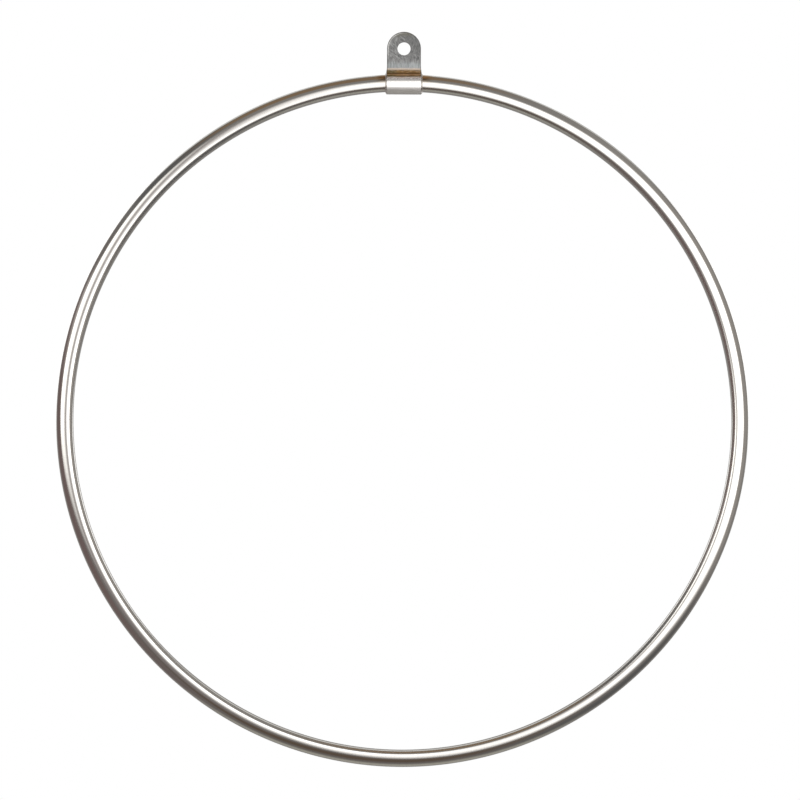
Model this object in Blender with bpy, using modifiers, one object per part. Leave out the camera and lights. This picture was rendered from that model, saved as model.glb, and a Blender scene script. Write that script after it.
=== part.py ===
"""Hanging hoop frame: a rolled steel tube ring with a folded plate tab welded round it.

Metres, +Z up. The origin is the centre of the hanging eye. The hoop stands in the XZ plane, its axis is Y,
and its front faces -Y. The tube is one length, closed under the tab over an internal sleeve.
"""

import math

import bmesh
import bpy

# The hoop
HOOP_OUTER_DIAMETER = 1.000
TUBE_DIAMETER = 0.025
TUBE_WALL = 0.002

# The closing joint, hidden under the tab
ROOT_GAP = 0.003
SLEEVE_DIAMETER = 0.020
SLEEVE_WALL = 0.003
SLEEVE_LENGTH = 0.100
PLUG_WELD_DIAMETER = 0.008
PLUG_WELD_OFFSET = 0.014

# The tab, a strip folded round the tube with both ends brought up as leaves
PLATE_THICKNESS = 0.003
TAB_WIDTH = 0.050
LEAF_GAP = 0.0003
BEND_RADIUS = 0.008
EYE_DIAMETER = 0.019
EYE_ABOVE_TUBE_AXIS = 0.0495

# The welds that show
SEAM_DEPTH = 0.0015
SEAM_WIDTH = 0.0026
FILLET_LEG = 0.003
FILLET_HEIGHT = 0.0026
FILLET_TOE = 0.0005

# Gap kept between pieces that touch on the real hoop
FIT_GAP = 0.0003

# Fineness
HOOP_STEPS = 108
TUBE_SIDES = 20
WRAP_STEPS = 36
BEND_STEPS = 5
OUTLINE_STEPS = 28
ROUND_SIDES = 40
PLUG_SIDES = 24
EDGE_ROUNDING = 0.0004

# Worked out from the dimensions above
TUBE_RADIUS = TUBE_DIAMETER / 2
HOOP_RADIUS = (HOOP_OUTER_DIAMETER - TUBE_DIAMETER) / 2
HALF_WIDTH = TAB_WIDTH / 2
TUBE_AXIS_Z = -EYE_ABOVE_TUBE_AXIS
HOOP_CENTRE_Z = TUBE_AXIS_Z - HOOP_RADIUS


def tube_drop(x):
    """How far the tube's curved axis has dropped at this distance from the tab's middle."""
    return HOOP_RADIUS - math.sqrt(HOOP_RADIUS**2 - x**2)


# The tab is straight and the tube inside it is curved, so the tab's bore is a little larger and lower.
WRAP_RADIUS = TUBE_RADIUS + FIT_GAP + tube_drop(HALF_WIDTH) / 2
WRAP_CENTRE_Z = TUBE_AXIS_Z - tube_drop(HALF_WIDTH) / 2
LEAF_MIDDLE_Y = (LEAF_GAP + PLATE_THICKNESS) / 2
TOP = math.pi / 2

COLOURS = {
    "tube_steel": (0.62, 0.60, 0.57),
    "plate_steel": (0.50, 0.50, 0.49),
    "weld_steel": (0.55, 0.50, 0.44),
    "sleeve_steel": (0.42, 0.41, 0.40),
}
ROUGHNESS = {
    "tube_steel": 0.22,
    "plate_steel": 0.38,
    "weld_steel": 0.32,
    "sleeve_steel": 0.5,
}


def clear_scene():
    for obj in list(bpy.data.objects):
        bpy.data.objects.remove(obj)


def new_collection(name, hidden=False):
    collection = bpy.data.collections.new(name)
    bpy.context.scene.collection.children.link(collection)
    collection.hide_render = hidden
    return collection


def steel(name):
    material = bpy.data.materials.new(name)
    material.use_nodes = True
    shader = material.node_tree.nodes["Principled BSDF"]
    shader.inputs["Base Color"].default_value = (*COLOURS[name], 1)
    shader.inputs["Metallic"].default_value = 1
    shader.inputs["Roughness"].default_value = ROUGHNESS[name]
    return material


def new_empty(name, location, rotation):
    empty = bpy.data.objects.new(name, None)
    empty.location = location
    empty.rotation_euler = rotation
    frame_parts.objects.link(empty)
    return empty


def add_object(name, mesh, collection, material=None):
    obj = bpy.data.objects.new(name, mesh)
    collection.objects.link(obj)
    if material:
        mesh.materials.append(material)
    return obj


def line_mesh(name, points, closed=False):
    """A mesh of one line of edges through the points."""
    mesh = bpy.data.meshes.new(name)
    edges = [(i, i + 1) for i in range(len(points) - 1)]
    if closed:
        edges.append((len(points) - 1, 0))
    mesh.from_pydata(points, edges, [])
    return mesh


def arc(centre, radius, start, end, steps):
    """Points (u, v) along an arc, both ends included."""
    angles = [start + (end - start) * i / steps for i in range(steps + 1)]
    return [(centre[0] + radius * math.cos(a), centre[1] + radius * math.sin(a)) for a in angles]


def add_screw(obj, angle, steps):
    screw = obj.modifiers.new("turn", "SCREW")
    screw.axis = "Z"
    screw.angle = angle
    screw.steps = steps
    screw.render_steps = steps
    full_turn = math.isclose(angle, 2 * math.pi)
    screw.use_merge_vertices = full_turn
    screw.merge_threshold = 0.00005


def add_solidify(obj, thickness, offset):
    solidify = obj.modifiers.new("wall", "SOLIDIFY")
    solidify.thickness = thickness
    solidify.offset = offset
    solidify.use_even_offset = True


def add_boolean(obj, operation, other):
    boolean = obj.modifiers.new(other.name, "BOOLEAN")
    boolean.operation = operation
    boolean.object = other


def add_bevel(obj, width, segments=2):
    bevel = obj.modifiers.new("edges", "BEVEL")
    bevel.width = width
    bevel.segments = segments
    bevel.limit_method = "ANGLE"
    bevel.angle_limit = math.radians(50)


def add_helper(obj):
    """Keeps a cutter out of the built object."""
    obj.hide_render = True
    obj.display_type = "WIRE"
    return obj


def smooth(obj):
    obj.data.shade_smooth()
    obj.data.set_sharp_from_angle(angle=math.radians(35))


def bent_tube(name, radius, wall, sweep, steps, material):
    """A tube that follows the hoop over an angle centred on the hoop's top."""
    section = [
        (HOOP_RADIUS + radius * math.cos(a), 0, -radius * math.sin(a))
        for a in (2 * math.pi * i / TUBE_SIDES for i in range(TUBE_SIDES))
    ]
    obj = add_object(name, line_mesh(name, section, closed=True), frame_parts, material)
    obj.parent = hoop_axis
    obj.rotation_euler.z = -TOP - sweep / 2
    add_screw(obj, sweep, steps)
    add_solidify(obj, wall, -1)
    return obj


def cylinder(name, radius, length, collection, sides=ROUND_SIDES, material=None):
    """A cylinder along its own Z, centred on its origin."""
    mesh = bpy.data.meshes.new(name)
    shape = bmesh.new()
    bmesh.ops.create_cone(
        shape, cap_ends=True, segments=sides, radius1=radius, radius2=radius, depth=length
    )
    shape.to_mesh(mesh)
    shape.free()
    return add_object(name, mesh, collection, material)


def ribbon(name, path, width, collection, material=None):
    """An open strip through path, points in X, Y and Z, drawn out evenly to both sides along its own X or Y.

    A path that lies in the YZ plane is drawn out along X, and one that lies in the XZ plane along Y."""
    along = 0 if all(p[0] == 0 for p in path) else 1
    mesh = bpy.data.meshes.new(name)
    shape = bmesh.new()
    rows = []
    for side in (-width / 2, width / 2):
        row = []
        for point in path:
            place = list(point)
            place[along] = side
            row.append(shape.verts.new(place))
        rows.append(row)
    for i in range(len(path) - 1):
        shape.faces.new((rows[0][i], rows[0][i + 1], rows[1][i + 1], rows[1][i]))
    shape.to_mesh(mesh)
    shape.free()
    return add_object(name, mesh, collection, material)


def slab(name, outline, half_depth, collection):
    """A flat outline in (x, z), closed, filled and drawn out to both sides along Y."""
    curve = bpy.data.curves.new(name, "CURVE")
    curve.dimensions = "2D"
    curve.fill_mode = "BOTH"
    curve.extrude = half_depth
    spline = curve.splines.new("POLY")
    spline.points.add(len(outline) - 1)
    for point, (x, z) in zip(spline.points, outline):
        point.co = (x, z, 0, 1)
    spline.use_cyclic_u = True
    guide = add_object(name, curve, collection)
    guide.rotation_euler.x = TOP
    bpy.context.view_layer.update()
    evaluated = guide.evaluated_get(bpy.context.evaluated_depsgraph_get())
    mesh = bpy.data.meshes.new_from_object(evaluated)
    shape = bmesh.new()
    shape.from_mesh(mesh)
    bmesh.ops.remove_doubles(shape, verts=shape.verts, dist=0.00001)
    bmesh.ops.recalc_face_normals(shape, faces=shape.faces)
    shape.to_mesh(mesh)
    shape.free()
    solid = add_object(name, mesh, collection)
    solid.matrix_world = guide.matrix_world
    bpy.data.objects.remove(guide)
    solid.name = name
    return solid


def wrap_path():
    """The middle line of the folded strip in (y, z): up one leaf, round the tube and up the other leaf."""
    bend = BEND_RADIUS + PLATE_THICKNESS / 2
    wrap = WRAP_RADIUS + PLATE_THICKNESS / 2
    bend_y = LEAF_MIDDLE_Y + bend
    bend_z = WRAP_CENTRE_Z + math.sqrt((wrap + bend) ** 2 - bend_y**2)
    tangent = math.atan2(bend_z - WRAP_CENTRE_Z, bend_y)
    front_bend = arc((-bend_y, bend_z), bend, 0, -tangent, BEND_STEPS)
    round_tube = arc((0, WRAP_CENTRE_Z), wrap, math.pi - tangent, 2 * math.pi + tangent, WRAP_STEPS)
    back_bend = arc((bend_y, bend_z), bend, math.pi + tangent, math.pi, BEND_STEPS)
    leaf_top = HALF_WIDTH * 1.1
    front = [(-LEAF_MIDDLE_Y, leaf_top), *front_bend]
    back = [*back_bend, (LEAF_MIDDLE_Y, leaf_top)]
    return front + round_tube[1:-1] + back, bend_z


def tab_outline(half_width, bottom):
    """The tab seen from the front, in (x, z): straight sides and a full round end about the eye."""
    round_end = arc((0, 0), half_width, 0, math.pi, OUTLINE_STEPS)
    return [(half_width, bottom), *round_end, (-half_width, bottom)]


def make_hoop_tube(plug_holes):
    gap_angle = ROOT_GAP / HOOP_RADIUS
    sweep = 2 * math.pi - gap_angle
    tube = bent_tube("hoop_tube", TUBE_RADIUS, TUBE_WALL, sweep, HOOP_STEPS, tube_steel)
    # The tube's sweep is centred on the top, so half a turn puts its gap there.
    tube.rotation_euler.z += math.pi
    for hole in plug_holes:
        add_boolean(tube, "DIFFERENCE", hole)


def make_closing_joint():
    bent_tube(
        "joint_sleeve",
        SLEEVE_DIAMETER / 2,
        SLEEVE_WALL,
        SLEEVE_LENGTH / HOOP_RADIUS,
        8,
        sleeve_steel,
    )
    weld_sweep = (ROOT_GAP - 2 * FIT_GAP) / HOOP_RADIUS
    bent_tube("butt_weld", TUBE_RADIUS, TUBE_WALL, weld_sweep, 1, weld_steel)


def make_plug_welds():
    """Round welds that fill a hole each side of the joint, on the hoop's inner side. Returns the hole cutters."""
    holes = []
    for side, x in (("left", -PLUG_WELD_OFFSET), ("right", PLUG_WELD_OFFSET)):
        angle = -TOP + x / HOOP_RADIUS
        hole = cylinder("hole_" + side, PLUG_WELD_DIAMETER / 2, 4 * TUBE_WALL, cutters, PLUG_SIDES)
        weld = cylinder(
            "plug_weld_" + side,
            PLUG_WELD_DIAMETER / 2 - FIT_GAP,
            TUBE_WALL,
            frame_parts,
            PLUG_SIDES,
            weld_steel,
        )
        distance = HOOP_RADIUS - TUBE_RADIUS + TUBE_WALL / 2
        for obj in (hole, weld):
            obj.parent = hoop_axis
            obj.location = (distance * math.cos(angle), distance * math.sin(angle), 0)
            obj.rotation_euler = (0, TOP, angle)
        add_helper(hole)
        smooth(weld)
        holes.append(hole)
    return holes


def make_hanging_tab():
    path, bend_z = wrap_path()
    tab = ribbon(
        "hanging_tab", [(0, y, z) for y, z in path], TAB_WIDTH * 1.1, frame_parts, plate_steel
    )
    add_solidify(tab, PLATE_THICKNESS, 0)
    below_wrap = TUBE_AXIS_Z - 2 * TUBE_DIAMETER
    blank = slab("blank_outline", tab_outline(HALF_WIDTH, below_wrap), TUBE_DIAMETER, cutters)
    add_boolean(tab, "INTERSECT", add_helper(blank))
    eye = cylinder("eye_hole", EYE_DIAMETER / 2, 2 * TUBE_DIAMETER, cutters)
    eye.rotation_euler.x = TOP
    add_boolean(tab, "DIFFERENCE", add_helper(eye))
    add_boolean(tab, "DIFFERENCE", make_seam_weld(bend_z))
    return bend_z


def make_seam_weld(bend_z):
    """The weld that closes the two leaves along their edges, ground flush. Returns the groove that it fills."""
    sides_bottom = bend_z + FIT_GAP
    path = [(x, 0, z) for x, z in tab_outline(HALF_WIDTH, sides_bottom)]
    weld = ribbon("leaf_seam_weld", path, SEAM_WIDTH, frame_parts, weld_steel)
    add_solidify(weld, SEAM_DEPTH, 1)
    add_bevel(weld, EDGE_ROUNDING)
    depth = SEAM_DEPTH + FIT_GAP
    outside = 2 * depth
    groove_path = [
        (x, 0, z) for x, z in tab_outline(HALF_WIDTH - depth + outside, sides_bottom - FIT_GAP)
    ]
    groove = ribbon("seam_groove", groove_path, SEAM_WIDTH + 2 * FIT_GAP, cutters)
    add_solidify(groove, outside, 1)
    return add_helper(groove)


def make_strap_welds(bend_z):
    """A fillet weld round the tube along each edge of the folded strip, drawn up between its bends."""
    inner = TUBE_RADIUS + FIT_GAP + tube_drop(HALF_WIDTH + FILLET_LEG) - tube_drop(HALF_WIDTH)
    outer = inner + FILLET_HEIGHT
    middle_drop = tube_drop(HALF_WIDTH + FILLET_LEG / 2)
    for side, turn in (("left", -TOP), ("right", TOP)):
        section = [
            (inner, 0, FILLET_LEG),
            (inner + FILLET_TOE, 0, FILLET_LEG),
            (outer - FILLET_TOE, 0, 3 * FILLET_TOE),
            (outer, 0, FILLET_TOE),
            (outer, 0, 0),
            (inner, 0, 0),
        ]
        # The section runs down its outer side, top to bottom, and is turned about the tube's own direction.
        name = "strap_weld_" + side
        weld = add_object(name, line_mesh(name, section, closed=True), frame_parts, weld_steel)
        weld.parent = tab_base
        weld.location = (math.copysign(HALF_WIDTH + FIT_GAP, turn), 0, -middle_drop)
        weld.rotation_euler.y = turn
        add_screw(weld, 2 * math.pi, ROUND_SIDES)
        crest = bend_z - TUBE_AXIS_Z + middle_drop
        add_boolean(weld, "UNION", make_weld_crest(side, turn, inner, outer, crest, weld))
        smooth(weld)


def make_weld_crest(side, turn, inner, outer, crest, weld):
    """The part of a strap weld that fills the valley between the strip's two bends, above the tube."""
    half_angle = math.radians(36)
    foot = arc((0, 0), (inner + outer) / 2, TOP - half_angle, TOP + half_angle, 8)
    flank_bend = BEND_RADIUS + PLATE_THICKNESS
    flank_y = flank_bend + LEAF_GAP
    left_flank = arc((-flank_y, crest), flank_bend, -math.radians(50), 0, 4)
    right_flank = [(-y, z) for y, z in reversed(left_flank)]
    outline = [*foot, *left_flank, *right_flank]
    crest_solid = slab("weld_crest_" + side, outline, FILLET_LEG / 4, cutters)
    crest_solid.parent = tab_base
    crest_solid.rotation_euler = (TOP, 0, TOP)
    inside_bead = math.copysign(FILLET_LEG / 4 + FIT_GAP, turn)
    crest_solid.location = (weld.location.x + inside_bead, 0, weld.location.z)
    return add_helper(crest_solid)


clear_scene()
frame_parts = new_collection("hanging_hoop_frame")
cutters = new_collection("cutters", hidden=True)
tube_steel = steel("tube_steel")
plate_steel = steel("plate_steel")
weld_steel = steel("weld_steel")
sleeve_steel = steel("sleeve_steel")
hoop_axis = new_empty("hoop_axis", (0, 0, HOOP_CENTRE_Z), (-TOP, 0, 0))
tab_base = new_empty("tab_base", (0, 0, TUBE_AXIS_Z), (0, 0, 0))

make_hoop_tube(make_plug_welds())
make_closing_joint()
bend_height = make_hanging_tab()
make_strap_welds(bend_height)
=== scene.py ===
"""The visible hanging hoop: finely made tube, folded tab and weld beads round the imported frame, in a studio.

Metres, +Z up, in the frame's own coordinates: the origin is the centre of the hanging eye, the hoop stands in
the XZ plane and its front faces -Y. Each visible piece replaces a CAD node, apart from the pieces hidden
inside the closing joint, which keep their CAD shape and get a finished material.
"""

import math

import bmesh
import bpy
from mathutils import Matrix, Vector, noise


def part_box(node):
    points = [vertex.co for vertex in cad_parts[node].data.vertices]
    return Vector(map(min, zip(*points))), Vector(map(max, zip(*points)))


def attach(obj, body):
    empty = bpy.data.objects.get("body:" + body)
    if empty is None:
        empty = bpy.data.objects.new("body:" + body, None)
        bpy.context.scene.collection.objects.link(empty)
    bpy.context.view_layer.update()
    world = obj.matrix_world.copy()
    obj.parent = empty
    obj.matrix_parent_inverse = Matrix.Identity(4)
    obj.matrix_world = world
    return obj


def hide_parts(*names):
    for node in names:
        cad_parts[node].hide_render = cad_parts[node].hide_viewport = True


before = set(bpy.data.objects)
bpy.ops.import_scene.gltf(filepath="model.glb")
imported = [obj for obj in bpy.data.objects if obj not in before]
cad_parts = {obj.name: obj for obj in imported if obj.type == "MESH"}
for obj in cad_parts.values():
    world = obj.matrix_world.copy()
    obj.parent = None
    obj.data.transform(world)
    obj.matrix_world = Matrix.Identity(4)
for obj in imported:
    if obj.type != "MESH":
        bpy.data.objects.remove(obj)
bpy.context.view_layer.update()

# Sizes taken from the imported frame, and those of the CAD part that its boxes can't give
HOOP_LOW, HOOP_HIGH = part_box("hoop_tube")
TAB_LOW, TAB_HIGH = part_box("hanging_tab")
TUBE_RADIUS = 0.0125
TUBE_WALL = 0.002
HOOP_RADIUS = (HOOP_HIGH.x - HOOP_LOW.x) / 2 - TUBE_RADIUS
HOOP_CENTRE_Z = HOOP_LOW.z + HOOP_RADIUS + TUBE_RADIUS
TUBE_AXIS_Z = HOOP_CENTRE_Z + HOOP_RADIUS
HALF_WIDTH = (TAB_HIGH.x - TAB_LOW.x) / 2
PLATE = 0.003
LEAF_GAP = 0.0003
LEAF_MIDDLE_Y = (LEAF_GAP + PLATE) / 2
BEND_RADIUS = 0.008
STRAP_CLEARANCE = 0.0003
EYE_RADIUS = 0.0095
ROOT_GAP = 0.003
PLUG_HOLE_RADIUS = 0.004
PLUG_OFFSET = 0.014

# The leaf is ground narrower than the strap, and its side eases in between these two heights
LEAF_HALF_WIDTH = HALF_WIDTH - 0.0006
SHOULDER_LOW = -0.034
SHOULDER_HIGH = -0.024

# How far the tab's outward edges are rounded, and the eye's edge as a share of the leaf's
LEAF_ROUNDING = 0.0013
STRAP_ROUNDING = 0.0007
EYE_ROUNDING_SHARE = 0.4

# The seam weld: its groove, how far its edges, ripples and waves sink, how far it laps over the leaves and
# strays as it does, the gap at its lower ends, and how far its root goes below the groove
SEAM_WIDTH = 0.0026
SEAM_DEPTH = 0.0015
SEAM_EDGE_SINK = 0.00021
SEAM_RIPPLE = 0.00006
SEAM_RIPPLE_STEPS = 2.6
SEAM_WAVE = 0.00008
SEAM_OVERLAP = 0.0002
SEAM_STRAY = 0.00012
SEAM_END_GAP = 0.0003
SEAM_ROOT = 0.0001

# The strap welds: where they start, how far they reach along the tube at the most and at the least, how far
# they stay below the strap's face, the crest above the tube, the ripples, and the bite into the tube
WELD_START = HALF_WIDTH + 0.0001
WELD_LEG = 0.0021
WELD_LEAST_LEG = 0.00012
WELD_BELOW_STRAP = 0.0002
WELD_CREST = 0.0195
WELD_CREST_SPREAD = math.radians(13)
WELD_RIPPLES = 62
WELD_RIPPLE_DEPTH = 0.00022
WELD_BITE = 0.0003

# How far cutting shapes reach past what they cut
CUT_MARGIN = 0.001

# The pieces inside the closing joint, which keep their CAD shape
HIDDEN_NODES = ("joint_sleeve", "butt_weld", "plug_weld_left", "plug_weld_right")

# Fineness of the visible pieces
HOOP_STEPS = 720
TUBE_SIDES = 64
WRAP_STEPS = 96
BEND_STEPS = 16
OUTLINE_STEPS = 96
SHOULDER_STEPS = 12
EYE_SIDES = 96
PLUG_SIDES = 48
ROUNDING_STEPS = 5
SEAM_SIDE_STEPS = 40
SEAM_ROUND_STEPS = 160
SEAM_SECTION = 14
WELD_STEPS = 360
WELD_SECTION = 12


def tube_drop(x):
    """How far the tube's curved axis has dropped at this distance from the tab's middle."""
    return HOOP_RADIUS - math.sqrt(HOOP_RADIUS**2 - x**2)


# The straight strap wraps a curved tube, so its bore is a little larger and lower than the tube
WRAP_RADIUS = TUBE_RADIUS + STRAP_CLEARANCE + tube_drop(HALF_WIDTH) / 2
WRAP_CENTRE_Z = TUBE_AXIS_Z - tube_drop(HALF_WIDTH) / 2


# ---------------------------------------------------------------- materials


class Nodes:
    """A short way to write a material's node tree."""

    def __init__(self, name):
        self.material = bpy.data.materials.new(name)
        self.material.use_nodes = True
        self.tree = self.material.node_tree
        self.tree.nodes.clear()
        self.output = self.add("ShaderNodeOutputMaterial")

    def add(self, kind, settings=None, **inputs):
        node = self.tree.nodes.new(kind)
        for key, value in (settings or {}).items():
            setattr(node, key, value)
        for key, value in inputs.items():
            self.put(node, key.replace("_", " "), value)
        return node

    def put(self, node, key, value):
        socket = node.inputs[int(key)] if key.isdigit() else node.inputs[key]
        if isinstance(value, bpy.types.NodeSocket):
            self.tree.links.new(value, socket)
        else:
            socket.default_value = value

    def math(self, operation, a, b=0.0):
        node = self.add("ShaderNodeMath", {"operation": operation})
        self.put(node, "0", a)
        self.put(node, "1", b)
        return node.outputs[0]

    def spread(self, value, scale, base):
        """The value times scale, plus base."""
        node = self.add("ShaderNodeMath", {"operation": "MULTIPLY_ADD"})
        self.put(node, "0", value)
        self.put(node, "1", scale)
        self.put(node, "2", base)
        return node.outputs[0]

    def vector(self, operation, a, b=None):
        node = self.add("ShaderNodeVectorMath", {"operation": operation})
        self.put(node, "0", a)
        if b is not None:
            self.put(node, "1", b)
        return node.outputs["Value" if operation == "DOT_PRODUCT" else "Vector"]

    def ramp(self, value, low, high, to_low=0.0, to_high=1.0):
        """Eases from to_low, where the value is low, to to_high, where it is high."""
        node = self.add("ShaderNodeMapRange", {"interpolation_type": "SMOOTHSTEP"})
        self.put(node, "Value", value)
        self.put(node, "From Min", low)
        self.put(node, "From Max", high)
        self.put(node, "To Min", to_low)
        self.put(node, "To Max", to_high)
        return node.outputs["Result"]

    def mix(self, factor, a, b):
        node = self.add("ShaderNodeMix", {"data_type": "RGBA"})
        self.put(node, "0", factor)
        for index, value in ((6, a), (7, b)):
            if isinstance(value, tuple):
                value = (*value, 1.0)
            self.put(node, str(index), value)
        return node.outputs[2]

    def noise(self, place, scale, detail=3.0, roughness=0.55):
        """Noise at place, a position in millimetres, with the pattern's size along each axis as scale."""
        stretched = self.vector("DIVIDE", place, scale)
        node = self.add("ShaderNodeTexNoise", {"normalize": True})
        self.put(node, "Vector", stretched)
        self.put(node, "Scale", 1.0)
        self.put(node, "Detail", detail)
        self.put(node, "Roughness", roughness)
        return node.outputs["Fac"]

    def bump(self, height, strength, distance, below=None):
        node = self.add("ShaderNodeBump")
        self.put(node, "Strength", strength)
        self.put(node, "Distance", distance)
        self.put(node, "Height", height)
        if below is not None:
            self.put(node, "Normal", below)
        return node.outputs["Normal"]

    def millimetres(self, attribute=None):
        """The object's own coordinates, or those of an attribute, in millimetres."""
        if attribute:
            source = self.add("ShaderNodeAttribute", {"attribute_name": attribute}).outputs["Vector"]
        else:
            source = self.add("ShaderNodeTexCoord").outputs["Object"]
        return self.vector("MULTIPLY", source, (1000.0, 1000.0, 1000.0))

    def axes(self, place):
        """The X, Y and Z of a place."""
        node = self.add("ShaderNodeSeparateXYZ")
        self.put(node, "Vector", place)
        return node.outputs["X"], node.outputs["Y"], node.outputs["Z"]

    def metal(self, colour, roughness, normal):
        shader = self.add("ShaderNodeBsdfPrincipled", Metallic=1.0)
        self.put(shader, "Base Color", colour)
        self.put(shader, "Roughness", roughness)
        self.put(shader, "Normal", normal)
        return self.surface(shader)

    def surface(self, shader):
        """Makes the shader the material's surface, and gives the finished material."""
        self.tree.links.new(shader.outputs[0], self.output.inputs["Surface"])
        return self.material


def streaks(nodes, place, scale, low, high):
    """Sparse fine lines, as scratches: 1 on a line and 0 off it."""
    return nodes.ramp(nodes.noise(place, scale, 2.0, 0.6), low, high)


def band(nodes, value, centre, half):
    """1 where the value is within half of centre, fading to 0 just outside."""
    away = nodes.math("ABSOLUTE", nodes.math("SUBTRACT", value, centre))
    return nodes.ramp(away, 1.35 * half, 0.65 * half)


def turned(nodes, place, degrees):
    """The place turned about Y, so that marks run at a slant across a leaf."""
    node = nodes.add("ShaderNodeVectorRotate", {"rotation_type": "Y_AXIS"})
    nodes.put(node, "Vector", place)
    nodes.put(node, "Angle", math.radians(degrees))
    return node.outputs["Vector"]


# The tube's heat tint, and the painted reflection with it, starts this far along it from the tab's middle, in
# millimetres
TINT_FROM = 28.0


def tube_steel():
    """Bright drawn tube: fine grain along it, faint bands, polish marks, and heat tint by the welds with
    painted reflection on its outer side there.
    """
    nodes = Nodes("tube_steel_visible")
    place = nodes.millimetres("tube_space")
    grain = nodes.noise(place, (60.0, 0.35, 0.35), 4.0, 0.6)
    long_bands = nodes.noise(place, (220.0, 2.2, 2.2), 3.0)
    blotches = nodes.noise(place, (26.0, 9.0, 9.0), 4.0)
    polish = nodes.noise(place, (0.5, 9.0, 9.0), 3.0, 0.6)
    sanded = nodes.noise(place, (2.4, 16.0, 16.0), 4.0, 0.7)
    nicks = streaks(nodes, place, (1.4, 5.0, 5.0), 0.70, 0.78)
    drawn = streaks(nodes, place, (45.0, 0.9, 0.9), 0.66, 0.74)

    # Heat tint, with painted reflection where it grows on the outer side: X is the way along the tube from the
    # tab's middle, and Z the way out from its axis
    along, _, outward = nodes.axes(place)
    from_weld = nodes.math("SUBTRACT", nodes.math("ABSOLUTE", along), TINT_FROM)
    ragged = nodes.math("ADD", from_weld, nodes.math("MULTIPLY", blotches, 14.0))
    straw_tint_and_painted_reflection = nodes.ramp(ragged, 26.0, 8.0, 0.0, 0.3)
    # Painted reflection: the tint is strongest on the tube's outer side, and the dark brown scorch lies only
    # there
    straw_tint_and_painted_reflection = nodes.math("MULTIPLY", straw_tint_and_painted_reflection, nodes.ramp(outward, -1.0, 5.0, 0.1, 1.8))
    scorch_and_painted_reflection = nodes.ramp(ragged, 22.0, 8.0, 0.0, 0.75)
    scorch_and_painted_reflection = nodes.math("MULTIPLY", scorch_and_painted_reflection, nodes.ramp(outward, 2.5, 5.5))
    lines = nodes.noise(place, (30.0, 2.0, 2.0), 3.0)
    blue = nodes.ramp(ragged, 11.0, 6.5, 0.0, 0.12)

    colour = nodes.mix(long_bands, (0.60, 0.585, 0.56), (0.72, 0.705, 0.68))
    colour = nodes.mix(nodes.math("MULTIPLY", blotches, 0.25), colour, (0.60, 0.56, 0.51))
    colour = nodes.mix(nodes.math("MULTIPLY", drawn, 0.18), colour, (0.45, 0.43, 0.41))
    colour = nodes.mix(nodes.ramp(sanded, 0.35, 0.65, 0.0, 0.22), colour, (0.50, 0.475, 0.45))
    colour = nodes.mix(straw_tint_and_painted_reflection, colour, (0.64, 0.50, 0.32))
    colour = nodes.mix(blue, colour, (0.34, 0.33, 0.38))
    scorch_and_reflection_colour = nodes.mix(nodes.ramp(lines, 0.44, 0.56), (0.13, 0.08, 0.055), (0.70, 0.47, 0.26))
    colour = nodes.mix(scorch_and_painted_reflection, colour, scorch_and_reflection_colour)

    rough = nodes.spread(blotches, 0.07, 0.07)
    rough = nodes.math("ADD", rough, nodes.math("MULTIPLY", nicks, 0.12))
    rough = nodes.math("ADD", rough, nodes.ramp(sanded, 0.3, 0.7, 0.0, 0.07))
    rough = nodes.math("ADD", rough, nodes.math("MULTIPLY", straw_tint_and_painted_reflection, 0.10))

    fine = nodes.math("ADD", grain, nodes.math("MULTIPLY", polish, 0.45))
    fine = nodes.math("SUBTRACT", fine, nodes.math("MULTIPLY", nicks, 0.5))
    fine = nodes.math("SUBTRACT", fine, nodes.math("MULTIPLY", drawn, 0.4))
    normal = nodes.bump(long_bands, 0.25, 0.00004)
    normal = nodes.bump(fine, 0.22, 0.00002, normal)
    return nodes.metal(colour, rough, normal)


# Heights on the tab in millimetres, negative below the eye: the leaf takes over from the strap between the
# first two, and the crossed scratches from the upright ones between the next two
LEAF_FROM, LEAF_FULL = -33.0, -26.0
CROSSED_FROM, CROSSED_FULL = -20.0, -12.0

# The heat tint and painted reflection across the bends: its middle height and half its width, and then each
# line in it, partly heat tint and partly painted reflection, as its height, half its width, its strength and
# its colour
TINT_AND_REFLECTION_MIDDLE, TINT_AND_REFLECTION_HALF = -35.9, 5.2
TINT_AND_REFLECTION_LINES = (
    (-27.9, 0.5, 0.45, (0.24, 0.19, 0.20)),
    (-29.6, 1.2, 0.70, (0.62, 0.51, 0.39)),
    (-31.5, 0.6, 0.60, (0.22, 0.15, 0.09)),
    (-35.9, 0.9, 0.75, (0.22, 0.12, 0.03)),
    (-37.5, 0.5, 0.60, (0.95, 0.62, 0.40)),
    (-40.2, 0.6, 0.85, (0.08, 0.05, 0.03)),
    (-41.6, 0.6, 0.60, (0.92, 0.80, 0.68)),
)


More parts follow.
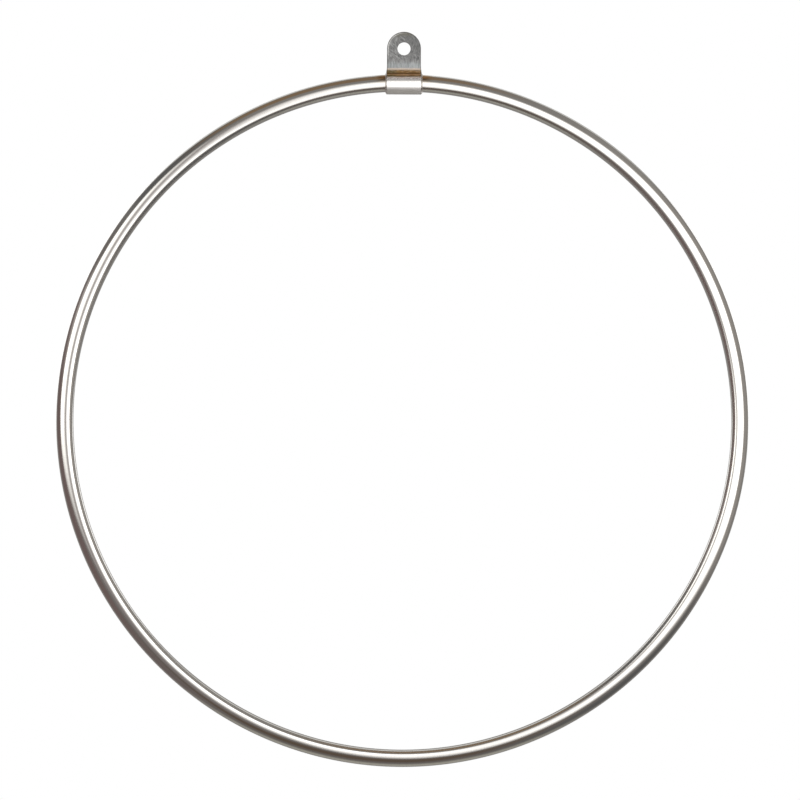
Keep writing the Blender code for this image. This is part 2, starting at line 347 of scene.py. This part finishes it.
def plate_steel():
    """Plate ground by hand: scratches across the leaves with painted shade and light on them, heat tint and
    painted reflection on the bends, and a brighter wrap.
    """
    nodes = Nodes("plate_steel_visible")
    place = nodes.millimetres()
    across, _, height = nodes.axes(place)
    on_leaf = nodes.ramp(height, LEAF_FROM, LEAF_FULL)

    slanted = nodes.noise(turned(nodes, place, 38.0), (0.28, 3.0, 9.0), 4.0, 0.65)
    crossed = nodes.noise(turned(nodes, place, -24.0), (0.3, 3.0, 11.0), 4.0, 0.65)
    upright = nodes.noise(place, (0.32, 3.0, 13.0), 4.0, 0.65)
    rolled = nodes.noise(place, (26.0, 0.35, 0.35), 4.0, 0.6)
    patches = nodes.noise(place, (13.0, 9.0, 11.0), 3.0, 0.6)
    clouds = nodes.noise(place, (7.0, 7.0, 6.0), 5.0, 0.65)
    speckle = nodes.noise(place, (1.1, 1.1, 1.1), 3.0, 0.7)
    deep = streaks(nodes, turned(nodes, place, 29.0), (0.22, 4.0, 7.0), 0.64, 0.72)

    coarse_slanted = nodes.noise(turned(nodes, place, 41.0), (0.9, 3.0, 7.0), 3.0, 0.6)
    coarse_crossed = nodes.noise(turned(nodes, place, -33.0), (0.85, 3.0, 8.0), 3.0, 0.6)
    coarse_upright = nodes.noise(place, (0.9, 3.0, 16.0), 3.0, 0.6)

    which = nodes.ramp(patches, 0.42, 0.56)
    low_leaf = nodes.ramp(height, CROSSED_FULL, CROSSED_FROM)
    scratches = nodes.mix(low_leaf, nodes.mix(which, slanted, crossed), upright)
    wide_which = nodes.ramp(patches, 0.35, 0.65)
    wide = nodes.mix(low_leaf, nodes.mix(wide_which, coarse_slanted, coarse_crossed), coarse_upright)
    marks = nodes.mix(on_leaf, rolled, nodes.mix(0.55, scratches, wide))

    contrast = nodes.ramp(marks, 0.42, 0.58)
    leaf = nodes.mix(contrast, (0.045, 0.046, 0.046), (0.38, 0.38, 0.378))
    leaf = nodes.mix(nodes.math("MULTIPLY", clouds, 0.3), leaf, (0.16, 0.156, 0.145))
    # Painted shade: the leaf darkens towards the right, round the eye
    rightward = nodes.ramp(across, -16.0, 18.0, 0.0, 0.42)
    painted_shade_mask = nodes.math("MULTIPLY", rightward, nodes.ramp(height, -20.0, -8.0))
    leaf = nodes.mix(painted_shade_mask, leaf, (0.085, 0.085, 0.085))
    leaf = nodes.mix(nodes.math("MULTIPLY", deep, 0.7), leaf, (0.62, 0.62, 0.61))
    # Darker and browner towards the top of the leaf
    near_top = nodes.math("ADD", height, nodes.math("MULTIPLY", clouds, 9.0))
    darker_top = nodes.ramp(near_top, 19.0, 28.0, 0.0, 0.6)
    leaf = nodes.mix(darker_top, leaf, (0.15, 0.14, 0.105))
    # Painted light: the leaf turns paler towards the bottom
    near_bottom = nodes.math("ADD", height, nodes.math("MULTIPLY", clouds, 6.0))
    pale = nodes.ramp(near_bottom, -13.0, -21.0, 0.0, 0.42)
    leaf = nodes.mix(pale, leaf, (0.36, 0.395, 0.40))

    # The leaf's outline: painted shade along the rounded edge, with a painted highlight line inside it at the
    # upper left
    rise = nodes.math("MAXIMUM", height, 0.0)
    reach = nodes.math("ADD", nodes.math("MULTIPLY", across, across), nodes.math("MULTIPLY", rise, rise))
    reach = nodes.math("ADD", nodes.math("SQRT", reach), nodes.math("MULTIPLY", clouds, 0.8))
    leftward = nodes.ramp(across, 6.0, -12.0, 0.0, 0.55)
    painted_highlight_line = nodes.math("MULTIPLY", band(nodes, reach, 23.2, 0.6), leftward)
    painted_highlight_line = nodes.math("MULTIPLY", painted_highlight_line, nodes.ramp(height, -16.0, -4.0))
    leaf = nodes.mix(painted_highlight_line, leaf, (0.70, 0.70, 0.68))
    leaf = nodes.mix(nodes.ramp(reach, 23.9, 24.5, 0.0, 0.7), leaf, (0.09, 0.085, 0.08))

    wrap = nodes.mix(rolled, (0.72, 0.705, 0.685), (0.86, 0.845, 0.825))
    wrap = nodes.mix(nodes.ramp(speckle, 0.45, 0.7, 0.0, 0.4), wrap, (0.50, 0.46, 0.45))
    upper_wrap = nodes.ramp(height, -47.0, -43.0)
    spotted = nodes.mix(nodes.ramp(speckle, 0.42, 0.58), (0.95, 0.94, 0.94), (0.42, 0.37, 0.39))
    wrap = nodes.mix(upper_wrap, wrap, spotted)
    colour = nodes.mix(on_leaf, wrap, leaf)

    # The heat tint of the bends, partly painted reflection: lines across the strip, front and back, olive at
    # the left and then ochre
    wander = nodes.math("MULTIPLY", nodes.noise(place, (16.0, 5.0, 40.0), 3.0, 0.6), 1.6)
    line_height = nodes.math("SUBTRACT", nodes.math("ADD", height, wander), 0.8)
    uneven = nodes.noise(place, (7.0, 4.0, 0.9), 4.0, 0.65)
    # Heat tint and painted reflection: the ochre band across the bends
    heat = band(nodes, line_height, TINT_AND_REFLECTION_MIDDLE, TINT_AND_REFLECTION_HALF)
    heat = nodes.math("MULTIPLY", heat, nodes.ramp(clouds, 0.25, 0.6, 0.7, 1.0))
    ochre = nodes.mix(nodes.ramp(uneven, 0.35, 0.65), (0.78, 0.55, 0.28), (0.38, 0.21, 0.08))
    olive = nodes.mix(nodes.ramp(uneven, 0.35, 0.65), (0.42, 0.37, 0.20), (0.20, 0.16, 0.06))
    ragged = nodes.math("ADD", across, nodes.math("MULTIPLY", clouds, 16.0))
    ochre = nodes.mix(nodes.ramp(ragged, 4.0, -10.0, 0.0, 0.8), ochre, olive)
    colour = nodes.mix(heat, colour, ochre)
    # The dark and pale lines: partly heat tint, partly painted reflection
    for centre, half, strength, tint in TINT_AND_REFLECTION_LINES:
        line = nodes.math("MULTIPLY", band(nodes, line_height, centre, half), strength)
        line = nodes.math("MULTIPLY", line, nodes.ramp(uneven, 0.3, 0.55, 0.5, 1.0))
        colour = nodes.mix(line, colour, tint)
    # Painted shade: dark lines along the strap's sides by the shoulder
    painted_shade_at_sides = nodes.ramp(nodes.math("ABSOLUTE", across), 23.4, 24.6, 0.0, 0.75)
    painted_shade_at_sides = nodes.math("MULTIPLY", painted_shade_at_sides, band(nodes, height, -34.0, 7.0))
    colour = nodes.mix(painted_shade_at_sides, colour, (0.09, 0.06, 0.045))

    smooth_part = nodes.spread(speckle, 0.12, 0.17)
    smooth_part = nodes.math("ADD", smooth_part, nodes.math("MULTIPLY", upper_wrap, 0.38))
    smooth_part = nodes.math("ADD", smooth_part, nodes.ramp(height, -55.0, -59.0, 0.0, 0.24))
    leaf_part = nodes.spread(marks, 0.16, 0.42)
    rough = nodes.mix(on_leaf, smooth_part, leaf_part)

    depth = nodes.math("SUBTRACT", marks, nodes.math("MULTIPLY", deep, 0.7))
    normal = nodes.bump(clouds, nodes.math("MULTIPLY", on_leaf, 0.35), 0.0002)
    normal = nodes.bump(depth, nodes.ramp(height, LEAF_FROM, LEAF_FULL, 0.12, 0.5), 0.00004, normal)
    normal = nodes.bump(speckle, nodes.math("MULTIPLY", upper_wrap, 0.5), 0.00012, normal)
    return nodes.metal(colour, rough, normal)


def weld_steel():
    """Weld metal: brushed bright level with the tube's axis, with brown scale and painted shade above and
    below.
    """
    nodes = Nodes("weld_steel_visible")
    place = nodes.millimetres()
    clouds = nodes.noise(place, (3.5, 3.5, 3.5), 5.0, 0.65)
    grit = nodes.noise(place, (0.5, 0.5, 0.5), 4.0, 0.7)
    brushed = nodes.noise(place, (5.0, 0.4, 5.0), 3.0)
    _, _, height = nodes.axes(place)
    # Painted shade, patched with scale: darker away from the tube's axis, at the bead's top and bottom
    from_axis = nodes.math("ABSOLUTE", nodes.math("ADD", height, -1000.0 * TUBE_AXIS_Z))
    painted_shade_mask = nodes.ramp(from_axis, 4.5, 9.5)
    scale_and_painted_shade = nodes.math("MULTIPLY", nodes.ramp(clouds, 0.42, 0.6, 0.15, 0.85), painted_shade_mask)
    colour = nodes.mix(brushed, (0.74, 0.72, 0.69), (0.90, 0.88, 0.85))
    colour = nodes.mix(scale_and_painted_shade, colour, (0.17, 0.09, 0.055))
    colour = nodes.mix(nodes.ramp(grit, 0.5, 0.7, 0.0, 0.35), colour, (0.42, 0.30, 0.18))
    rough = nodes.spread(clouds, 0.24, 0.34)
    relief = nodes.math("ADD", clouds, nodes.math("MULTIPLY", grit, 0.5))
    return nodes.metal(colour, rough, nodes.bump(relief, 0.35, 0.00006))


def sleeve_steel():
    """Plain mild tube that never shows: dull, with grain along it and spots of scale."""
    nodes = Nodes("sleeve_steel_visible")
    place = nodes.millimetres()
    grain = nodes.noise(place, (22.0, 0.5, 0.5), 4.0)
    clouds = nodes.noise(place, (6.0, 6.0, 6.0), 5.0, 0.65)
    colour = nodes.mix(grain, (0.34, 0.33, 0.32), (0.50, 0.49, 0.47))
    colour = nodes.mix(nodes.ramp(clouds, 0.5, 0.7, 0.0, 0.7), colour, (0.24, 0.20, 0.17))
    rough = nodes.spread(clouds, 0.3, 0.35)
    return nodes.metal(colour, rough, nodes.bump(grain, 0.3, 0.00004))


# ------------------------------------------------------------------- meshes


def new_object(name, data, material=None):
    obj = bpy.data.objects.new(name, data)
    bpy.context.scene.collection.objects.link(obj)
    if material:
        data.materials.append(material)
    return obj


def finish_piece(obj, node):
    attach(obj, "root")
    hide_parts(node)
    return obj


def smooth(obj, degrees):
    """Shades the object smooth, apart from the edges that turn by more than this angle."""
    obj.data.shade_smooth()
    obj.data.set_sharp_from_angle(angle=math.radians(degrees))


def arc(centre, radius, start, end, steps):
    """Points (u, v) along an arc, both ends included."""
    angles = [start + (end - start) * i / steps for i in range(steps + 1)]
    return [(centre[0] + radius * math.cos(a), centre[1] + radius * math.sin(a)) for a in angles]


def grid_faces(rows, columns, wrap_rows=False, wrap_columns=False):
    """Quads of a grid of vertices numbered row by row."""
    faces = []
    for i in range(rows if wrap_rows else rows - 1):
        for j in range(columns if wrap_columns else columns - 1):
            k = (i + 1) % rows
            m = (j + 1) % columns
            faces.append((i * columns + j, i * columns + m, k * columns + m, k * columns + j))
    return faces


def mesh_of(name, points, faces):
    mesh = bpy.data.meshes.new(name)
    mesh.from_pydata(points, [], faces)
    shape = bmesh.new()
    shape.from_mesh(mesh)
    bmesh.ops.recalc_face_normals(shape, faces=shape.faces)
    shape.to_mesh(mesh)
    shape.free()
    return mesh


def applied(obj):
    """Puts the result of the object's modifiers into its mesh."""
    graph = bpy.context.evaluated_depsgraph_get()
    result = bpy.data.meshes.new_from_object(obj.evaluated_get(graph))
    old = obj.data
    obj.modifiers.clear()
    obj.data = result
    bpy.data.meshes.remove(old)


def cut(obj, operation, other):
    """Cuts the object with another one, which is then removed."""
    boolean = obj.modifiers.new("cut", "BOOLEAN")
    boolean.operation = operation
    boolean.solver = "EXACT"
    boolean.object = other
    applied(obj)
    bpy.data.objects.remove(other)


def cylinder(name, radius, length, sides, centre, direction):
    mesh = bpy.data.meshes.new(name)
    shape = bmesh.new()
    bmesh.ops.create_cone(shape, cap_ends=True, segments=sides, radius1=radius, radius2=radius, depth=length)
    turn = Vector(direction).to_track_quat("Z", "Y").to_matrix().to_4x4()
    bmesh.ops.transform(shape, matrix=turn, verts=shape.verts)
    bmesh.ops.translate(shape, vec=Vector(centre), verts=shape.verts)
    shape.to_mesh(mesh)
    shape.free()
    return new_object(name, mesh)


def hoop_point(along, around, radius):
    """A point on a tube round the hoop's axis. along is an angle from the hoop's top, clockwise from the
    front, and around is an angle about the tube from its outer side towards the front."""
    reach = HOOP_RADIUS + radius * math.cos(around)
    return (
        reach * math.sin(along),
        -radius * math.sin(around),
        HOOP_CENTRE_Z + reach * math.cos(along),
    )


def keep_tube_space(mesh):
    """Stores each point's place in the tube as if the tube were straight, for grain that follows it."""
    values = []
    for vertex in mesh.vertices:
        x, y, z = vertex.co.x, vertex.co.y, vertex.co.z - HOOP_CENTRE_Z
        values += (math.atan2(x, z) * HOOP_RADIUS, y, math.hypot(x, z) - HOOP_RADIUS)
    mesh.attributes.new("tube_space", "FLOAT_VECTOR", "POINT").data.foreach_set("vector", values)


def make_hoop(material):
    """One length of hollow tube, open at the root gap under the tab, with a hole for each plug weld."""
    half_gap = ROOT_GAP / 2 / HOOP_RADIUS
    sweep = 2 * math.pi - 2 * half_gap
    turns = [2 * math.pi * j / TUBE_SIDES for j in range(TUBE_SIDES)]
    points = []
    for radius in (TUBE_RADIUS, TUBE_RADIUS - TUBE_WALL):
        for i in range(HOOP_STEPS + 1):
            along = half_gap + sweep * i / HOOP_STEPS
            points += [hoop_point(along, around, radius) for around in turns]
    rows = HOOP_STEPS + 1
    count = rows * TUBE_SIDES
    outer = grid_faces(rows, TUBE_SIDES, wrap_columns=True)
    inner = [tuple(count + v for v in reversed(face)) for face in outer]
    ends = []
    for row in (0, HOOP_STEPS):
        for j in range(TUBE_SIDES):
            a = row * TUBE_SIDES + j
            b = row * TUBE_SIDES + (j + 1) % TUBE_SIDES
            ends.append((a, count + a, count + b, b))
    hoop = new_object("hoop", mesh_of("hoop", points, outer + inner + ends), material)
    for x in (-PLUG_OFFSET, PLUG_OFFSET):
        along = x / HOOP_RADIUS
        middle = hoop_point(along, math.pi, TUBE_RADIUS)
        depth = 2 * (TUBE_WALL + CUT_MARGIN)
        drill = cylinder("hole", PLUG_HOLE_RADIUS, depth, PLUG_SIDES, middle, (x / HOOP_RADIUS, 0, 1))
        cut(hoop, "DIFFERENCE", drill)
    keep_tube_space(hoop.data)
    smooth(hoop, 40)
    return finish_piece(hoop, "hoop_tube")


# The blank is this much wider and taller than the tab that is cut from it
BLANK_SIZE = 1.1


def wrap_path():
    """The middle line of the folded strip in (y, z), and the height and angle at which its bends start."""
    bend = BEND_RADIUS + PLATE / 2
    wrap = WRAP_RADIUS + PLATE / 2
    bend_y = LEAF_MIDDLE_Y + bend
    bend_z = WRAP_CENTRE_Z + math.sqrt((wrap + bend) ** 2 - bend_y**2)
    tangent = math.atan2(bend_z - WRAP_CENTRE_Z, bend_y)
    front_bend = arc((-bend_y, bend_z), bend, 0, -tangent, BEND_STEPS)
    round_tube = arc((0, WRAP_CENTRE_Z), wrap, math.pi - tangent, 2 * math.pi + tangent, WRAP_STEPS)
    back_bend = arc((bend_y, bend_z), bend, math.pi + tangent, math.pi, BEND_STEPS)
    leaf_top = HALF_WIDTH * BLANK_SIZE
    path = [(-LEAF_MIDDLE_Y, leaf_top), *front_bend, *round_tube[1:-1], *back_bend, (LEAF_MIDDLE_Y, leaf_top)]
    return path, bend_y, bend_z


def strip(name, path, half_width, thickness):
    """A solid strip of even thickness whose middle line is path, in (y, z), drawn out along X."""
    points = []
    last = len(path) - 1
    for i, (y, z) in enumerate(path):
        before = path[max(i - 1, 0)]
        after = path[min(i + 1, last)]
        along = Vector((after[0] - before[0], after[1] - before[1])).normalized()
        side = Vector((-along.y, along.x)) * thickness / 2
        for x, sign in ((-half_width, 1), (half_width, 1), (half_width, -1), (-half_width, -1)):
            points.append((x, y + sign * side.x, z + sign * side.y))
    faces = grid_faces(len(path), 4, wrap_columns=True)
    end = 4 * last
    faces += [(3, 2, 1, 0), (end, end + 1, end + 2, end + 3)]
    return new_object(name, mesh_of(name, points, faces))


def prism(name, outline, half_depth):
    """A solid with this outline in (x, z), drawn out to both sides along Y."""
    count = len(outline)
    points = [(x, y, z) for y in (-half_depth, half_depth) for x, z in outline]
    faces = [tuple(range(count)), tuple(range(2 * count - 1, count - 1, -1))]
    faces += [(i, (i + 1) % count, count + (i + 1) % count, count + i) for i in range(count)]
    return new_object(name, mesh_of(name, points, faces))


def tab_outline(bottom):
    """The tab's outline in (x, z): full width at the strap, easing in at the shoulder, and a round end."""
    side = [(HALF_WIDTH, bottom)]
    for i in range(SHOULDER_STEPS + 1):
        t = i / SHOULDER_STEPS
        ease = t * t * (3 - 2 * t)
        width = HALF_WIDTH + (LEAF_HALF_WIDTH - HALF_WIDTH) * ease
        side.append((width, SHOULDER_LOW + (SHOULDER_HIGH - SHOULDER_LOW) * t))
    round_end = arc((0, 0), LEAF_HALF_WIDTH, 0, math.pi, OUTLINE_STEPS)
    return [*side, *round_end, *[(-x, z) for x, z in reversed(side)]]


def seam_band(name, depth, half_depth, bottom):
    """A U-shaped band along the tab's sides and round end, this deep, and wider outwards than the tab."""
    outlines = []
    for reach in (LEAF_HALF_WIDTH + CUT_MARGIN, LEAF_HALF_WIDTH - depth):
        round_end = arc((0, 0), reach, 0, math.pi, OUTLINE_STEPS)
        outlines.append([(reach, bottom), *round_end, (-reach, bottom)])
    outside, inside = outlines
    return prism(name, [*outside, *reversed(inside)], half_depth)


def on_outer_side(co, bend_y, bend_z):
    """True for a point on the face of the strip that is turned away from the tube and the other leaf."""
    if co.z > bend_z:
        return abs(co.y) > LEAF_MIDDLE_Y
    from_bend = math.hypot(abs(co.y) - bend_y, co.z - bend_z)
    from_tube = math.hypot(co.y, co.z - WRAP_CENTRE_Z)
    return from_bend < BEND_RADIUS + PLATE / 2 or from_tube > WRAP_RADIUS + PLATE / 2


def soften_edges(obj, bend_y, bend_z):
    """Rounds the strip's outward edges, more on the leaves, where they were ground, than on the strap."""
    mesh = obj.data
    weights = mesh.attributes.new("bevel_weight_edge", "FLOAT", "EDGE")
    shape = bmesh.new()
    shape.from_mesh(mesh)
    shape.edges.ensure_lookup_table()
    values = [0.0] * len(shape.edges)
    for edge in shape.edges:
        if len(edge.link_faces) != 2 or edge.calc_face_angle() < math.radians(50):
            continue
        if not all(on_outer_side(v.co, bend_y, bend_z) for v in edge.verts):
            continue
        middle = (edge.verts[0].co + edge.verts[1].co) / 2
        at_eye = math.hypot(middle.x, middle.z) < EYE_RADIUS + CUT_MARGIN
        on_leaf = middle.z > bend_z
        strap_share = STRAP_ROUNDING / LEAF_ROUNDING
        values[edge.index] = EYE_ROUNDING_SHARE if at_eye else 1.0 if on_leaf else strap_share
    shape.free()
    weights.data.foreach_set("value", values)
    bevel = obj.modifiers.new("edges", "BEVEL")
    bevel.limit_method = "WEIGHT"
    bevel.width = LEAF_ROUNDING
    bevel.segments = ROUNDING_STEPS
    bevel.use_clamp_overlap = False
    bevel.harden_normals = False
    applied(obj)


def make_tab(material):
    """The folded strip, cut to its outline and drilled for the eye, with a groove for the seam weld."""
    path, bend_y, bend_z = wrap_path()
    tab = strip("tab", path, HALF_WIDTH * BLANK_SIZE, PLATE)
    below_tab = TUBE_AXIS_Z - 2 * HALF_WIDTH
    cut(tab, "INTERSECT", prism("outline", tab_outline(below_tab), HALF_WIDTH))
    cut(tab, "DIFFERENCE", cylinder("eye", EYE_RADIUS, 10 * PLATE, EYE_SIDES, (0, 0, 0), (0, 1, 0)))
    groove = seam_band("groove", SEAM_DEPTH, SEAM_WIDTH / 2, bend_z)
    cut(tab, "DIFFERENCE", groove)
    soften_edges(tab, bend_y, bend_z)
    tab.data.materials.clear()
    tab.data.materials.append(material)
    smooth(tab, 32)
    weighted = tab.modifiers.new("flat faces", "WEIGHTED_NORMAL")
    weighted.keep_sharp = True
    weighted.weight = 100
    return finish_piece(tab, "hanging_tab"), bend_z


def make_seam(material, bend_z):
    """The leaf seam weld: a flattened bead ground almost flush with the tab's edge."""
    bottom = bend_z + SEAM_END_GAP
    straight = [(LEAF_HALF_WIDTH, bottom * (1 - i / SEAM_SIDE_STEPS)) for i in range(SEAM_SIDE_STEPS)]
    round_end = arc((0, 0), LEAF_HALF_WIDTH, 0, math.pi, SEAM_ROUND_STEPS)
    path = [*straight, *round_end, *[(-x, z) for x, z in reversed(straight)]]
    points = []
    for i, (x, z) in enumerate(path):
        outward = Vector((x, 0.0, max(z, 0.0))).normalized()
        ripple = 0.5 + 0.5 * math.cos(2 * math.pi * i / SEAM_RIPPLE_STEPS)
        wave = noise.noise(Vector((x * 180, 3.0, z * 180)))
        for j in range(SEAM_SECTION):
            across = -1 + 2 * j / (SEAM_SECTION - 1)
            stray = SEAM_STRAY * noise.noise(Vector((x * 400, across, z * 400)))
            width = SEAM_WIDTH / 2 + SEAM_OVERLAP + stray
            sunk = SEAM_EDGE_SINK * across**2 + SEAM_RIPPLE * ripple + SEAM_WAVE * (1 + wave)
            place = Vector((x, across * width, z)) - outward * sunk
            points.append(tuple(place))
        for across in (1.0, -1.0):
            place = Vector((x, across * SEAM_WIDTH / 2, z)) - outward * (SEAM_DEPTH + SEAM_ROOT)
            points.append(tuple(place))
    columns = SEAM_SECTION + 2
    faces = grid_faces(len(path), columns, wrap_columns=True)
    last = (len(path) - 1) * columns
    faces += [tuple(range(columns)), tuple(last + j for j in reversed(range(columns)))]
    seam = new_object("leaf_seam", mesh_of("leaf_seam", points, faces), material)
    smooth(seam, 50)
    return finish_piece(seam, "leaf_seam_weld")


def make_strap_weld(side, material):
    """A rippled fillet bead round the tube at one edge of the strap, drawn up between the strip's bends."""
    sign = -1 if side == "left" else 1
    points = []
    foot = TUBE_RADIUS - WELD_BITE
    outer_wrap = WRAP_RADIUS + PLATE - WELD_BELOW_STRAP
    for i in range(WELD_STEPS):
        angle = 2 * math.pi * i / WELD_STEPS
        from_top = abs(math.remainder(angle - math.pi / 2, 2 * math.pi))
        rise = math.exp(-((from_top / WELD_CREST_SPREAD) ** 2))
        outer = outer_wrap + (WELD_CREST - outer_wrap) * rise
        wander = 0.7 * noise.noise(Vector((i * 0.11, 0.0, sign)))
        ripple = 0.5 + 0.5 * math.cos(angle * WELD_RIPPLES + wander)
        uneven = noise.noise(Vector((math.cos(angle) * 2.2, math.sin(angle) * 2.2, 5.0 * sign)))
        leg = WELD_LEG * (0.95 + 0.1 * uneven) - WELD_RIPPLE_DEPTH * ripple
        for j in range(WELD_SECTION + 1):
            t = j / WELD_SECTION
            # Hollow over the crest, and slightly full elsewhere
            fillet = (1 - t) ** (1.25 + 0.9 * rise) + 0.10 * math.sin(math.pi * t) * (1 - rise)
            reach = leg * fillet + WELD_LEAST_LEG
            radius = foot + (outer - foot) * t
            centre = (TUBE_AXIS_Z - tube_drop(WELD_START + reach)) * (1 - t) + WRAP_CENTRE_Z * t
            points.append(
                (sign * (WELD_START + reach), radius * math.cos(angle), centre + radius * math.sin(angle))
            )
        for radius in (outer, foot):
            centre = WRAP_CENTRE_Z if radius == outer else TUBE_AXIS_Z - tube_drop(WELD_START)
            points.append((sign * WELD_START, radius * math.cos(angle), centre + radius * math.sin(angle)))
    faces = grid_faces(WELD_STEPS, WELD_SECTION + 3, wrap_rows=True, wrap_columns=True)
    name = "strap_bead_" + side
    bead = new_object(name, mesh_of(name, points, faces), material)
    smooth(bead, 60)
    return finish_piece(bead, "strap_weld_" + side)


# ------------------------------------------------------------------- studio

# The room round the hoop, relative to the hoop's centre. It shows only in reflections.
ROOM_LOW = (-1.8, -0.8, -1.5)
ROOM_HIGH = (1.8, 1.6, 1.4)
WALL_LOW = (0.19, 0.175, 0.17)
WALL_HIGH = (0.30, 0.29, 0.28)

# Each patch of the room: centre, half size, softness of its edge and light. Later ones cover earlier ones.
ROOM_PATCHES = (
    ("right wall", (1.8, -0.6, 0.3), (1.0, 1.0, 1.3), 0.4, (0.40, 0.38, 0.36)),
    ("dark floor at right", (1.2, -0.2, -1.5), (0.7, 0.8, 0.5), 0.5, (0.14, 0.14, 0.14)),
    ("left wall", (-1.8, 0.3, -0.3), (0.8, 2.0, 1.3), 0.4, (0.21, 0.16, 0.155)),
    ("dark upper left corner", (-1.3, 0.3, 1.5), (0.5, 1.5, 0.7), 0.4, (0.14, 0.14, 0.14)),
    ("wooden ceiling", (-0.3, -0.1, 1.5), (0.7, 0.5, 0.3), 0.4, (0.27, 0.19, 0.12)),
    ("dark floor in front", (-0.2, -0.8, -1.05), (0.6, 0.5, 0.4), 0.5, (0.14, 0.105, 0.08)),
    ("pale floor", (-0.1, 0.9, -1.5), (0.9, 1.0, 0.3), 0.4, (0.48, 0.47, 0.42)),
    ("mullion", (-0.42, -0.8, 0.05), (0.18, 0.4, 0.6), 0.5, (0.30, 0.265, 0.265)),
    ("back wall", (0.0, 1.6, 0.0), (2.2, 1.0, 1.9), 0.3, (0.34, 0.33, 0.32)),
    ("rear ceiling", (0.0, 1.15, 1.4), (1.3, 0.45, 0.3), 0.3, (0.90, 0.90, 0.88)),
    ("rear left window", (-1.2, 1.6, 0.55), (0.45, 0.5, 0.6), 0.3, (1.9, 1.9, 1.9)),
    ("rear right window", (1.35, 1.6, 0.5), (0.45, 0.5, 0.6), 0.3, (1.9, 1.9, 1.9)),
)

# The windows lean to the left with height, as a share of it.
WINDOW_LEAN = 0.2
WINDOWS = (
    ("left window", (-1.1, -0.8, 0.35), (0.55, 0.9, 0.5), 0.4, (2.2, 2.2, 2.15)),
    ("right window", (0.6, -0.8, 0.15), (0.65, 0.9, 0.55), 0.6, (3.0, 3.0, 3.0)),
)

FLOOR_BELOW_HOOP = 0.27
FLOOR_BEHIND_HOOP = 0.2
FLOOR_RADIUS = 1.7

# The camera is far off with a long lens. It sees this width at the hoop, and is shifted and rolled (in
# degrees) by the small amounts that the photo is.
CAMERA_DISTANCE = 8.0
VIEW_WIDTH = 1.1552
VIEW_SHIFT_X = -0.0035
VIEW_SHIFT_Z = 0.0299
VIEW_ROLL = -0.26
SENSOR_WIDTH = 36.0


def make_room():
    """Glowing walls that show in the hoop's reflections, and that the camera sees through."""
    nodes = Nodes("room_light")
    place = nodes.add("ShaderNodeTexCoord").outputs["Object"]
    _, _, height = nodes.axes(place)
    up = nodes.ramp(height, ROOM_LOW[2], ROOM_HIGH[2])
    colour = nodes.mix(up, WALL_LOW, WALL_HIGH)
    for lean, patches in ((0.0, ROOM_PATCHES), (WINDOW_LEAN, WINDOWS)):
        for _, centre, half, softness, light in patches:
            offset = nodes.vector("SUBTRACT", place, centre)
            rise = nodes.vector("DOT_PRODUCT", offset, (0.0, 0.0, lean))
            leaned = nodes.add("ShaderNodeCombineXYZ")
            nodes.put(leaned, "X", rise)
            offset = nodes.vector("ADD", offset, leaned.outputs["Vector"])
            scaled = nodes.vector("DIVIDE", offset, half)
            squared = nodes.vector("MULTIPLY", scaled, scaled)
            distance = nodes.math("POWER", nodes.vector("DOT_PRODUCT", squared, squared), 0.25)
            mask = nodes.ramp(distance, 1 - softness, 1 + softness, 1.0, 0.0)
            colour = nodes.mix(mask, colour, light)
    glow = nodes.add("ShaderNodeEmission", Strength=1.0)
    nodes.put(glow, "Color", colour)
    mesh = bpy.data.meshes.new("studio_room")
    shape = bmesh.new()
    bmesh.ops.create_cube(shape, size=1.0)
    for vertex in shape.verts:
        vertex.co = Vector(
            [high if c > 0 else low for c, low, high in zip(vertex.co, ROOM_LOW, ROOM_HIGH)]
        )
    shape.to_mesh(mesh)
    shape.free()
    room = new_object("studio_room", mesh, nodes.surface(glow))
    room.location.z = HOOP_CENTRE_Z
    room.visible_camera = False
    room.visible_diffuse = False
    room.visible_shadow = False


def make_floor():
    """A round pale floor under the hoop."""
    nodes = Nodes("pale_floor")
    place = nodes.millimetres()
    mottled = nodes.noise(place, (60.0, 60.0, 60.0), 5.0)
    colour = nodes.mix(mottled, (0.86, 0.855, 0.845), (0.91, 0.905, 0.90))
    shader = nodes.add("ShaderNodeBsdfPrincipled", Roughness=0.8)
    nodes.put(shader, "Base Color", colour)
    nodes.put(shader, "Normal", nodes.bump(mottled, 0.1, 0.0003))
    mesh = bpy.data.meshes.new("studio_floor")
    shape = bmesh.new()
    bmesh.ops.create_circle(shape, cap_ends=True, radius=FLOOR_RADIUS, segments=96)
    shape.to_mesh(mesh)
    shape.free()
    floor = new_object("studio_floor", mesh, nodes.surface(shader))
    floor.location = (0, FLOOR_BEHIND_HOOP, HOOP_LOW.z - FLOOR_BELOW_HOOP)
    floor.visible_glossy = False


def make_background():
    world = bpy.data.worlds.new("studio_background")
    world.use_nodes = True
    background = world.node_tree.nodes["Background"]
    background.inputs["Color"].default_value = (1.0, 1.0, 1.0, 1.0)
    background.inputs["Strength"].default_value = 1.0
    bpy.context.scene.world = world
    bpy.context.scene.view_settings.view_transform = "Standard"


def make_camera():
    """A long lens square on to the hoop."""
    data = bpy.data.cameras.new("camera")
    data.sensor_width = SENSOR_WIDTH
    data.lens = SENSOR_WIDTH * CAMERA_DISTANCE / VIEW_WIDTH
    data.clip_end = 100.0
    camera = new_object("camera", data)
    camera.location = (VIEW_SHIFT_X, -CAMERA_DISTANCE, HOOP_CENTRE_Z + VIEW_SHIFT_Z)
    camera.rotation_euler = (math.pi / 2, math.radians(VIEW_ROLL), 0)
    bpy.context.scene.camera = camera


make_camera()
make_background()
make_room()
make_floor()

weld = weld_steel()
make_hoop(tube_steel())
_, bend_height = make_tab(plate_steel())
make_seam(weld, bend_height)
make_strap_weld("left", weld)
make_strap_weld("right", weld)

sleeve = sleeve_steel()
for hidden in HIDDEN_NODES:
    node_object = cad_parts[hidden]
    for slot in node_object.material_slots:
        slot.material = sleeve if hidden == "joint_sleeve" else weld
